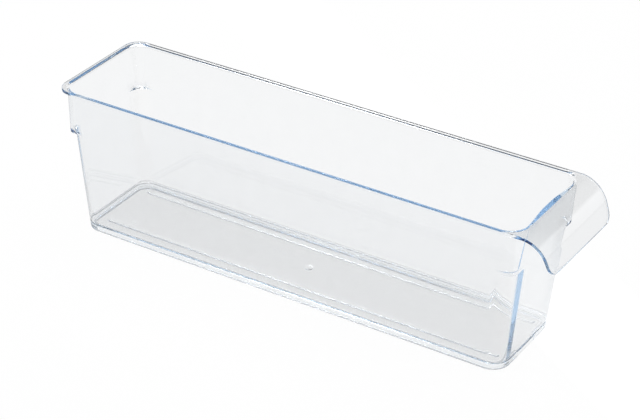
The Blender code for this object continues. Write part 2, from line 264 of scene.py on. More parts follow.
@dataclass
class Lip:
    """The rim's outer edge and the pull lip, drawn on a flat sheet that is then bent over the front."""

    tub: Tub
    corner_radius: float = 0.0120
    bend_start: float = 0.0010
    bend_radius: float = 0.0223
    bend_degrees: float = 69.7
    thickness: float = 0.0023
    thicken_over: float = 0.0060
    narrowing: float = 0.0039
    lower_corner: float = 0.0085
    edge_round: float = 0.0005
    arc_steps: int = 12

    @property
    def bend_y(self) -> float:
        """Y where the bend starts."""
        return self.tub.mouth_front - self.bend_start

    @property
    def bend_length(self) -> float:
        """Length of the bend along its outer face."""
        return self.bend_radius * math.radians(self.bend_degrees)

    @property
    def end(self) -> float:
        """Place of the lower edge on the flat sheet."""
        last = math.radians(self.bend_degrees)
        bend_end_y = self.bend_y - self.bend_radius * math.sin(last)
        straight = (bend_end_y + self.tub.length / 2) / math.cos(last)
        return self.bend_y - self.bend_length - straight

    def bent(self, flat: np.ndarray, depth: np.ndarray) -> np.ndarray:
        """Points of the flat sheet carried onto the bent one, sunk under its outer face.

        Behind the bend's start the sheet is level. From there it follows an arc of the bend's radius, and
        then a straight line at the bend's last angle. Depth is measured square to the sheet.

        Args:
            flat: (..., 2) places on the flat sheet, x and y.
            depth: depth under the outer face, of the same leading shape.

        Returns:
            (..., 3) points.
        """
        past = np.maximum(self.bend_y - flat[..., 1], 0)
        turn = np.minimum(past / self.bend_radius, math.radians(self.bend_degrees))
        straight = np.maximum(past - self.bend_length, 0)
        reach = self.bend_radius * np.sin(turn) + straight * np.cos(turn)
        drop = self.bend_radius * (1 - np.cos(turn)) + straight * np.sin(turn)
        y = np.where(past > 0, self.bend_y - reach, flat[..., 1]) + depth * np.sin(turn)
        z = self.tub.height - drop - depth * np.cos(turn)
        return np.stack([flat[..., 0], y, z], -1)

    def along(self, flat: np.ndarray, way: np.ndarray) -> np.ndarray:
        """A direction on the flat sheet turned with the bend at each place.

        Args:
            flat: (..., 2) places on the flat sheet.
            way: (..., 2) directions on it.

        Returns:
            (..., 3) directions of the same length.
        """
        past = np.maximum(self.bend_y - flat[..., 1], 0)
        turn = np.minimum(past / self.bend_radius, math.radians(self.bend_degrees))
        return np.stack([way[..., 0], way[..., 1] * np.cos(turn), way[..., 1] * np.sin(turn)], -1)

    def depth(self, flat: np.ndarray) -> np.ndarray:
        """Thickness of the sheet: the flange's behind the bend, easing to the lip's.

        Args:
            flat: (..., 2) places on the flat sheet.

        Returns:
            Thickness at each place.
        """
        start = self.tub.mouth_front - self.tub.wall
        thicker = smooth_step(start - flat[..., 1], 0, self.thicken_over)
        return self.tub.flange + (self.thickness - self.tub.flange) * thicker

    def outline(self, stations: Stations, facing: np.ndarray, inner: np.ndarray) -> np.ndarray:
        """Outer edge on the flat sheet, one place for each station of the mouth.

        Rear corners are arcs, and long sides lie straight across from the mouth. Each front corner's
        stations run evenly down the lip's side and round its lower corner. The front stations lie along the
        lower edge.

        Args:
            stations: how the stations are counted.
            facing: facing angle of every station.
            inner: (stations, 2) places of the mouth's edge.

        Returns:
            (stations, 2) places.
        """
        steps, first = stations.corner_steps, stations.first
        centre = np.array([self.tub.width, self.tub.length]) / 2 - self.corner_radius
        places = np.zeros_like(inner)
        for corner, mirror in ((0, 1), (1, -1)):
            these = first[corner] + np.arange(steps + 1)
            around = np.stack([np.cos(facing[these]), np.sin(facing[these])], -1)
            places[these] = centre * [mirror, 1] + self.corner_radius * around
        side = self.side_path(inner[first[3] + steps][1], steps)
        places[first[2] + np.arange(steps + 1)] = side * [-1, 1]
        places[first[3] + np.arange(steps + 1)] = side[::-1]
        for corner in range(4):
            start = first[corner] + steps
            stop = (first + [stations.count])[corner + 1]
            share = np.linspace(0, 1, stop - start + 1)[1:-1, None]
            begin, end = places[start], places[stop % stations.count]
            places[start + 1:stop] = begin + (end - begin) * share
        return places

    def side_path(self, start_y: float, steps: int) -> np.ndarray:
        """Even steps down the right side of the lip and round its lower corner, back to front.

        Args:
            start_y: y of the first place.
            steps: number of steps.

        Returns:
            (steps + 1, 2) places on the flat sheet.
        """
        half = self.tub.width / 2
        end_half = half - self.narrowing
        arc = turns(self.arc_steps)
        corner_x = end_half - self.lower_corner + self.lower_corner * np.cos(arc)
        corner_y = self.end + self.lower_corner - self.lower_corner * np.sin(arc)
        x = np.r_[half, half, corner_x]
        y = np.r_[start_y, self.bend_y, corner_y]
        run = np.r_[0, np.cumsum(np.hypot(np.diff(x), np.diff(y)))]
        even = np.linspace(0, run[-1], steps + 1)
        return np.stack([np.interp(even, run, x), np.interp(even, run, y)], -1)


@dataclass
class FloorRelief:
    """What stands out under the floor: two ribs, the gate mark and a small round mark, in metres."""

    rib_spacing: float = 0.0488
    rib_width: float = 0.0024
    rib_depth: float = 0.0016
    rib_front: float = 0.0090
    rib_rear: float = 0.0142
    rib_edge: float = 0.0008
    gate_radius: float = 0.0034
    gate_depth: float = 0.0003
    nub_radius: float = 0.0011
    nub_depth: float = 0.0005
    disc_radius: float = 0.0033
    disc_depth: float = 0.00015
    disc_from_rib: float = 0.0069
    disc_from_rear: float = 0.0324
    mark_edge: float = 0.0009
    # Weights that draw the grid's lines together over each form: across the bin, then along it
    rib_weights: tuple[float, float] = (8.0, 14.0)
    gate_weights: tuple[float, float] = (2.0, 10.0)
    disc_weights: tuple[float, float] = (2.0, 8.0)
    nub_weight: float = 3.0
    drawn_share: float = 1.1
    samples: int = 4001

    def depth(self, x: np.ndarray, y: np.ndarray, front: float, rear: float) -> np.ndarray:
        """Depth under the flat underside: each form's depth, eased to nothing over its edge.

        Args:
            x: places across the bin.
            y: places along the bin.
            front: y of the tub's front at its base.
            rear: y of the tub's rear at its base.

        Returns:
            Depths of the same shape as x and y.
        """
        half = self.rib_width / 2
        end_front = front + self.rib_front + half
        end_rear = rear - self.rib_rear - half
        past = np.maximum(np.maximum(end_front - y, y - end_rear), 0)
        total = np.zeros_like(x)
        for side in (-1, 1):
            away = np.hypot(x - side * self.rib_spacing / 2, past)
            total += self.rib_depth * (1 - smooth_step(away, half - self.rib_edge, half + self.rib_edge / 2))
        centre = (front + rear) / 2
        disc_x = self.disc_from_rib - self.rib_spacing / 2
        marks = ((0, centre, self.gate_radius, self.gate_depth),
                 (0, centre, self.nub_radius, self.nub_depth - self.gate_depth),
                 (disc_x, rear - self.disc_from_rear, self.disc_radius, self.disc_depth))
        for mark_x, mark_y, radius, depth in marks:
            away = np.hypot(x - mark_x, y - mark_y)
            total += depth * (1 - smooth_step(away, radius - self.mark_edge, radius))
        return total

    def lines(self, count: int, reach: float, peaks: list[tuple[float, float, float]]) -> np.ndarray:
        """Grid lines from -reach to reach, closer together where a form needs them.

        The density is 1 plus the sum of each peak's weight inside its half width, and the lines lie at even
        shares of its running total.

        Args:
            count: how many lines.
            reach: half the span.
            peaks: (centre, half width, weight) of each stretch to refine.

        Returns:
            The places of the lines, in order.
        """
        fine = np.linspace(-reach, reach, self.samples)
        density = np.ones_like(fine)
        for centre, half_width, weight in peaks:
            density += weight * (np.abs(fine - centre) < half_width)
        total = np.r_[0, np.cumsum((density[1:] + density[:-1]) / 2)]
        return np.interp(np.linspace(0, total[-1], count), total, fine)


@dataclass
class Moulding:
    """The whole bin as one closed surface, built from the tub, the lip and the floor's relief."""

    tub: Tub
    lip: Lip
    relief: FloorRelief
    stations: Stations = field(default_factory=Stations)
    inner_round: float = 0.0029
    under_fillet: float = 0.0008
    bead_thickness: float = 0.0012
    bead_round: float = 0.0008
    bead_ease: float = 0.8
    # Radius of each floor grid's ring at its corners, as a share of the foot's corner radius there
    top_corner_share: float = 0.40
    under_corner_share: float = 0.32
    # Places of the rows of stations at the end of the thin strip, as shares of the foot's round
    strip_edge_shares: tuple[float, ...] = (-1.5, -0.75, 0.0, 0.75, 1.5)
    top_rows: int = 30
    inner_steps: int = 8
    outer_steps: int = 5
    foot_steps: int = 4
    low_inner_rows: int = 14
    low_outer_rows: int = 16
    high_rows: int = 10
    foot_rows: int = 4
    table: tuple[np.ndarray, ...] = field(init=False)

    def __post_init__(self) -> None:
        """Place the stations, which every row shares."""
        self.table = self.stations.table(self.short_shares())

    @property
    def in_front(self) -> np.ndarray:
        """True for the stations on the straight stretch of the front wall."""
        _, _, share, angle = self.table
        return np.isclose(np.sin(angle), -1) & (share > 0)

    def short_shares(self) -> np.ndarray:
        """Shares of a short side's straight stretch, close together at the ends of the foot's thin strip.

        Returns:
            The shares in order, without 0 and 1.
        """
        half_x, _, _ = self.tub.planes(np.array(0.0))
        reach = half_x - self.tub.radius_foot
        edge = self.tub.strip_width / 2
        near = edge + self.tub.foot_round * np.array(self.strip_edge_shares)
        beyond = self.stations.short_steps - 1 - self.stations.break_steps - 2 * len(near)
        inner = np.linspace(-near[0], near[0], self.stations.break_steps + 2)[1:-1]
        outer = np.linspace(near[-1], reach, beyond // 2 + 2)[1:-1]
        places = np.sort(np.r_[-outer, -near, inner, near, outer])
        return (places + reach) / (2 * reach)

    def loops(self, height: np.ndarray, inset: np.ndarray, radius: np.ndarray) -> np.ndarray:
        """Rows of points on the tub: a rounded rectangle at each height, moved inwards by its inset.

        Args:
            height: height of each row.
            inset: distance of each row inside the outer planes.
            radius: outer corner radius of each row.

        Returns:
            (rows, stations, 3) points.
        """
        before, after, share, angle = self.table
        rows = (np.atleast_1d(np.asarray(values, float)) for values in (height, inset, radius))
        height, inset, radius = rows
        half_x, front, rear = self.tub.planes(height)
        side = np.stack([half_x - radius, radius - half_x, radius - half_x, half_x - radius], -1)
        end = np.stack([rear - radius, rear - radius, front + radius, front + radius], -1)
        reach = (radius - inset)[:, None]
        x = side[:, before] * (1 - share) + side[:, after] * share + reach * np.cos(angle)
        y = end[:, before] * (1 - share) + end[:, after] * share + reach * np.sin(angle)
        return np.stack([x, y, np.broadcast_to(height[:, None], x.shape)], -1)

    def inner_rows(self) -> np.ndarray:
        """Rows from the floor's fillet up the inside, over the ledge's shelf and round the mouth's edge.

        Returns:
            (rows, stations, 3) points, bottom to top.
        """
        tub = self.tub
        turn = turns(self.inner_steps)
        fillet_height = tub.floor_top + tub.floor_fillet * (1 - np.cos(turn))
        fillet_inset = tub.wall + tub.floor_fillet * (1 - np.sin(turn))
        shelf = tub.ledge_height + tub.wall
        shelf_height, shelf_radius = tub.ledge(shelf, tub.ledge_edge, tub.ledge_root, tub.inner_radius)
        low_end = shelf_height[0] - tub.support
        low = np.linspace(fillet_height[-1] + tub.support, low_end, self.low_inner_rows)
        top = tub.height - self.inner_round
        high = np.linspace(shelf_height[-1] + tub.support, top - tub.support, self.high_rows)
        round_height = top + self.inner_round * np.sin(turn)
        round_inset = tub.wall - self.inner_round * (1 - np.cos(turn))
        height = np.r_[fillet_height, low, shelf_height, high, round_height]
        inset = np.r_[fillet_inset, np.full(len(low) + len(shelf_height) + len(high), tub.wall), round_inset]
        radius = np.r_[tub.inner_radius(fillet_height), tub.inner_radius(low), shelf_radius,
                       tub.upper_radius(high), tub.upper_radius(round_height)]
        return self.with_bead(self.loops(height, inset, radius), high[0], len(high), turn)

    def with_bead(self, rows: np.ndarray, start: float, high_count: int, turn: np.ndarray) -> np.ndarray:
        """Thicken the top of the front wall inwards to a bead, widest in the middle of the front.

        The bead is a second set of rows for the wall above the ledge. Its thickness grows with the square of
        the rise. Each place of the front moves from the plain rows to the bead's by a share that eases from
        0 at the front's ends to 1 in its middle.

        Args:
            rows: rows of the inside, bottom to top.
            start: height where the bead starts.
            high_count: number of plain rows above the ledge.
            turn: angles of the rows round the mouth's edge.

        Returns:
            The rows with the bead.
        """
        tub = self.tub
        share = self.table[2]
        top = tub.height - self.bead_round
        high = np.linspace(start, top - tub.support, high_count)
        height = np.r_[high, top + self.bead_round * np.sin(turn)]
        rise = (height - start) / (tub.height - start)
        rounded = np.r_[np.zeros(high_count), 1 - np.cos(turn)]
        inset = tub.wall + self.bead_thickness * rise ** 2 - self.bead_round * rounded
        bead = self.loops(height, inset, tub.upper_radius(height))
        from_end = 1 - np.abs(2 * share - 1)
        part = np.where(self.in_front, smooth_step(from_end, 0, self.bead_ease), 0)[:, None]
        beaded = rows.copy()
        beaded[-len(height):] += (bead - rows[-len(height):]) * part
        return beaded

    def rim_rows(self, mouth: np.ndarray, wall: np.ndarray) -> np.ndarray:
        """Rows over the rim and lip, round their outer edge and back under them to the wall.

        On the flat sheet the upper rows lie at even shares of the way from the mouth to the edge, and the
        under rows from the edge to the wall. The edge turns down on one arc and back in on another.

        Args:
            mouth: (stations, 2) places where the mouth's rounded edge ends.
            wall: (stations, 2) places where the underside meets the wall's fillet.

        Returns:
            (rows, stations, 3) points, without the mouth's own row.
        """
        lip = self.lip
        edge = lip.outline(self.stations, self.table[3], mouth)
        way = np.roll(edge, -1, 0) - np.roll(edge, 1, 0)
        way /= np.linalg.norm(way, axis=1, keepdims=True)
        outward = np.stack([way[:, 1], -way[:, 0]], -1)
        rim = edge - outward * lip.edge_round
        share = np.linspace(0, 1, self.top_rows + 1)[1:, None, None]
        top_flat = mouth + (rim - mouth) * share
        top = lip.bent(top_flat, np.zeros(top_flat.shape[:2]))
        depth = lip.depth(rim)
        side = lip.along(rim, outward)
        rows = [top]
        for angle in turns(self.outer_steps)[1:]:
            shallow = lip.bent(rim, np.full(len(rim), lip.edge_round * (1 - math.cos(angle))))
            rows.append((shallow + side * lip.edge_round * math.sin(angle))[None])
        for angle in turns(self.outer_steps):
            deep = lip.bent(rim, depth - lip.edge_round * (1 - math.sin(angle)))
            rows.append((deep + side * lip.edge_round * math.cos(angle))[None])
        under_flat = rim + (wall - rim) * share
        rows.append(lip.bent(under_flat, lip.depth(under_flat)))
        return np.concatenate(rows)

    def outer_rows(self) -> np.ndarray:
        """Rows down the outside, from the fillet under the rim, in under the ledge and round the foot.

        Returns:
            (rows, stations, 3) points, top to bottom.
        """
        tub = self.tub
        turn = turns(self.outer_steps)[1:]
        fillet_height = tub.wall_top - self.under_fillet * (1 - np.cos(turn))
        fillet_inset = -self.under_fillet * (1 - np.sin(turn))
        ledge_height, ledge_radius = tub.ledge(tub.ledge_height, tub.ledge_root, tub.ledge_edge,
                                               tub.lower_radius)
        ledge_height, ledge_radius = ledge_height[::-1], ledge_radius[::-1]
        high_end = ledge_height[0] + tub.support
        high = np.linspace(fillet_height[-1] - tub.support, high_end, self.high_rows)
        low_end = tub.foot_round + tub.support
        low = np.linspace(ledge_height[-1] - tub.support, low_end, self.low_outer_rows)
        turn = turns(self.foot_steps)
        foot_out_height = tub.foot_round * (1 - np.sin(turn))
        foot_out_inset = tub.foot_round * (1 - np.cos(turn))
        foot_in_height = tub.foot_round * (1 - np.cos(turn))
        foot_in_inset = tub.foot_thickness - tub.foot_round * (1 - np.sin(turn))
        rise = np.linspace(low_end, tub.floor_underside - tub.foot_round, self.foot_rows)
        root_height = tub.floor_underside - tub.foot_round * (1 - np.sin(turn[1:]))
        root_inset = tub.foot_thickness + tub.foot_round * (1 - np.cos(turn[1:]))
        above = np.r_[fillet_height, high]
        below = np.r_[low, foot_out_height, foot_in_height, rise, root_height]
        height = np.r_[above, ledge_height, below]
        inset = np.r_[fillet_inset, np.zeros(len(high) + len(ledge_height) + len(low)), foot_out_inset,
                      foot_in_inset, np.full(len(rise), tub.foot_thickness), root_inset]
        radius = np.r_[tub.upper_radius(above), ledge_radius, tub.lower_radius(below)]
        rows = self.loops(height, inset, radius)
        behind = len(rows) - len(foot_in_height) - len(rise) - len(root_height)
        return np.concatenate([rows[:behind], self.with_strips(rows[behind:])])

    def with_strips(self, rows: np.ndarray) -> np.ndarray:
        """Draw the foot's inner face outwards over the width of the thin strip under the front wall.

        The stretch moves out by the foot's thickness less the strip's own, eased over the edge at each side.

        Args:
            rows: (rows, stations, 3) points of the foot's inner face.

        Returns:
            The moved rows.
        """
        tub = self.tub
        half_x, _, _ = tub.planes(np.array(0.0))
        across = np.abs(2 * self.table[2] - 1) * (half_x - tub.radius_foot)
        edge = tub.strip_width / 2
        beyond = smooth_step(across, edge - tub.foot_round, edge + tub.foot_round)
        inside = np.where(self.in_front, 1 - beyond, 0)
        moved = rows.copy()
        moved[..., 1] -= inside * (tub.foot_thickness - tub.strip_thickness)
        return moved

    def floor_grid(self, height: float, face: FloorFace) -> np.ndarray:
        """Grid of points that closes the floor, with the relief on its underside.

        Args:
            height: height of the flat face.
            face: which face it is; the relief hangs from the underside.

        Returns:
            (along, across, 3) points.
        """
        steps = self.stations
        relief = self.relief
        half_x, front, rear = (float(place) for place in self.tub.planes(np.array(0.0)))
        sunk = face is FloorFace.UNDERSIDE
        inset = self.tub.behind_foot if sunk else self.tub.wall + self.tub.floor_fillet
        corner_share = self.under_corner_share if sunk else self.top_corner_share
        corner = (self.tub.radius_foot - inset) * corner_share
        reach_x = half_x - inset - corner
        front_y, rear_y = front + inset + corner, rear - inset - corner
        middle, reach_y = (front_y + rear_y) / 2, (rear_y - front_y) / 2
        centre = (front + rear) / 2
        half_rib = relief.rib_width / 2 + relief.rib_edge
        disc_x = relief.disc_from_rib - relief.rib_spacing / 2
        disc_y = rear - relief.disc_from_rear - middle
        ribs = relief.rib_spacing / 2
        rib_across, rib_along = relief.rib_weights
        gate_across, gate_along = relief.gate_weights
        disc_across, disc_along = relief.disc_weights
        gate_reach = relief.gate_radius * relief.drawn_share
        disc_reach = relief.disc_radius * relief.drawn_share
        across = [(ribs, half_rib, rib_across), (-ribs, half_rib, rib_across), (0, gate_reach, gate_across),
                  (disc_x, disc_reach, disc_across), (0, relief.nub_radius, relief.nub_weight)]
        ends = relief.rib_width
        along = [(front + relief.rib_front + ends / 2 - middle, ends, rib_along),
                 (rear - relief.rib_rear - ends / 2 - middle, ends, rib_along),
                 (centre - middle, gate_reach, gate_along), (disc_y, disc_reach, disc_along)]
        x = relief.lines(steps.short_steps + steps.corner_steps + 1, reach_x, across)
        y = middle + relief.lines(steps.long_steps + steps.corner_steps + 1, reach_y, along)
        grid_x, grid_y = np.meshgrid(x, y)
        depth = relief.depth(grid_x, grid_y, front, rear) if sunk else np.zeros_like(grid_x)
        return np.stack([grid_x, grid_y, height - depth], -1)

    def build(self) -> bpy.types.Object:
        """Join the rows and the two floor grids into one closed mesh.

        Returns:
            The moulding.
        """
        tub = self.tub
        inner = self.inner_rows()
        outer = self.outer_rows()
        wall_height = np.array([tub.wall_top])
        wall = self.loops(wall_height, -self.under_fillet, tub.upper_radius(wall_height))[0]
        rim = self.rim_rows(inner[-1][:, :2], wall[:, :2])
        support = tub.wall + tub.floor_fillet + tub.support
        top_edge = self.loops(tub.floor_top, support, tub.inner_radius(tub.floor_top))
        low_inset = tub.foot_thickness + tub.foot_round + tub.support
        low_radius = tub.lower_radius(tub.floor_underside)
        low_edge = self.with_strips(self.loops(tub.floor_underside, low_inset, low_radius))
        low_middle = self.loops(tub.floor_underside, tub.behind_foot, low_radius)
        rows = np.concatenate([top_edge, inner, rim, outer, low_edge, low_middle])
        count, around = rows.shape[:2]
        index = np.arange(count * around).reshape(count, around)
        beside = np.roll(index, -1, 1)
        walls = np.stack([index[:-1], index[1:], beside[1:], beside[:-1]], -1).reshape(-1, 4)
        points = [rows.reshape(-1, 3)]
        faces = [walls]
        start = count * around
        floors = ((0, tub.floor_top, FloorFace.TOP), (count - 1, tub.floor_underside, FloorFace.UNDERSIDE))
        for row, height, face in floors:
            grid = self.floor_grid(height, face)
            faces += self.floor_faces(index[row], start, grid.shape[:2], face)
            points.append(grid.reshape(-1, 3))
            start += grid.shape[0] * grid.shape[1]
        return mesh_piece("bin_moulding", np.concatenate(points), np.concatenate(faces))

    def floor_faces(self, loop: np.ndarray, start: int, shape: tuple[int, int],
                    face: FloorFace) -> list[np.ndarray]:
        """Faces of one floor grid and of the ring that joins its edge to a loop of stations.

        Args:
            loop: point numbers of the loop.
            start: number of the grid's first point.
            shape: rows and columns of the grid.
            face: which face it is; the underside faces down.

        Returns:
            Two arrays of faces.
        """
        grid = start + np.arange(shape[0] * shape[1]).reshape(shape)
        inside = np.stack([grid[:-1, :-1], grid[:-1, 1:], grid[1:, 1:], grid[1:, :-1]], -1).reshape(-1, 4)
        half_corner = self.stations.corner_steps // 2
        edge = np.r_[grid[:-1, -1], grid[-1, :0:-1], grid[:0:-1, 0], grid[0, :-1]]
        to_corner = shape[0] - 1
        edge = np.roll(edge, -(to_corner - half_corner))
        ring = np.stack([edge, loop, np.roll(loop, -1), np.roll(edge, -1)], -1)
        if face is FloorFace.UNDERSIDE:
            return [inside[:, ::-1], ring[:, ::-1]]
        return [inside, ring]


def mesh_piece(name: str, points: np.ndarray, faces: np.ndarray) -> bpy.types.Object:
    """Put a closed surface of quads into a new object, shaded smooth and facing outwards.

    Args:
        name: name of the piece.
        points: (n, 3) points in metres.
        faces: (m, 4) point numbers.

    Returns:
        The object, linked to the scene.
    """
    corners = points[faces]
    middle = corners.mean(1)
    area = np.cross(corners[:, 2] - corners[:, 0], corners[:, 3] - corners[:, 1])
    if (middle * area).sum() < 0:
        faces = faces[:, ::-1]
    mesh = bpy.data.meshes.new(name)
    mesh.from_pydata(points, [], faces)
    mesh.update()
    mesh.shade_smooth()
    piece = bpy.data.objects.new(name, mesh)
    bpy.context.scene.collection.objects.link(piece)
    return piece


@dataclass(frozen=True)
class Viewpoint:
    """Camera at the photograph's viewing angle, in metres and degrees."""

    place: tuple[float, float, float] = (-1.0862, -0.6905, 0.8317)
    down: float = 31.045
    turn: float = 32.60
    lens: float = 119.62
    sensor: float = 36.0
    clip: tuple[float, float] = (0.01, 100.0)

    def camera(self) -> bpy.types.Object:
        """Make the camera and set it on the scene.

        Returns:
            The camera.
        """
        down, turn = math.radians(self.down), math.radians(self.turn)
        ahead = Vector((math.cos(down) * math.cos(turn), math.cos(down) * math.sin(turn), -math.sin(down)))
        data = bpy.data.cameras.new("view")
        data.lens = self.lens
        data.sensor_width = self.sensor
        data.clip_start, data.clip_end = self.clip
        camera = bpy.data.objects.new("view", data)
        camera.location = self.place
        camera.rotation_euler = ahead.to_track_quat("-Z", "Y").to_euler()
        bpy.context.scene.collection.objects.link(camera)
        bpy.context.scene.camera = camera
        return camera


class Nodes:
    """Short ways to add nodes to one shader tree."""

    def __init__(self, tree: bpy.types.NodeTree) -> None:
        """Keep the tree."""
        self.tree = tree

    def add(self, kind: str, **settings: object) -> bpy.types.Node:
        """Add a node and set its properties.

        Args:
            kind: the node's type.
            settings: properties by name.

        Returns:
            The node.
        """
        node = self.tree.nodes.new(kind)
        for name, value in settings.items():
            setattr(node, name, value)
        return node

    def put(self, value: object, socket: bpy.types.NodeSocket) -> None:
        """Link an output to a socket, or set the socket to a plain value.

        Args:
            value: an output socket, a number or a colour.
            socket: the input socket.
        """
        if isinstance(value, bpy.types.NodeSocket):
            self.tree.links.new(value, socket)
        else:
            socket.default_value = value

    def math(self, operation: str, *values: object, clamp: bool = False) -> bpy.types.NodeSocket:
        """Work out one number from others.

        Args:
            operation: name of the sum.
            values: output sockets or numbers.
            clamp: True keeps the result from 0 to 1.

        Returns:
            The result's socket.
        """
        node = self.add("ShaderNodeMath", operation=operation, use_clamp=clamp)
        for socket, value in zip(node.inputs, values):
            self.put(value, socket)
        return node.outputs[0]

    def blend(self, share: object, first: object, second: object) -> bpy.types.NodeSocket:
        """Mix two colours or numbers, given as colours, by a share.

        Args:
            share: 0 for the first, 1 for the second.
            first: the first colour.
            second: the second colour.

        Returns:
            The mixed colour's socket.
        """
        node = self.add("ShaderNodeMix", data_type="RGBA")
        self.put(share, node.inputs["Factor"])
        self.put(first, node.inputs[6])
        self.put(second, node.inputs[7])
        return node.outputs[2]

    def noise(self, where: object, scale: float, detail: float) -> bpy.types.NodeSocket:
        """Cloudy noise over a place, from 0 to 1.

        Args:
            where: places in metres.
            scale: clouds in a metre.
            detail: how many finer layers it adds.

        Returns:
            The noise's socket.
        """
        node = self.add("ShaderNodeTexNoise")
        self.put(where, node.inputs["Vector"])
        self.put(scale, node.inputs["Scale"])
        self.put(detail, node.inputs["Detail"])
        return node.outputs[0]

    def ramp(self, value: object, low: float, high: float, start: float, end: float) -> bpy.types.NodeSocket:
        """Ease a number from start to end while value goes from low to high.

        Args:
            value: the socket to read.
            low: where the step starts.
            high: where it ends.
            start: the number at and under low.
            end: the number at and over high.

        Returns:
            The number's socket.
        """
        node = self.add("ShaderNodeMapRange", interpolation_type="SMOOTHSTEP")
        for name, number in (("Value", value), ("From Min", low), ("From Max", high), ("To Min", start),
                             ("To Max", end)):
            self.put(number, node.inputs[name])
        return node.outputs["Result"]


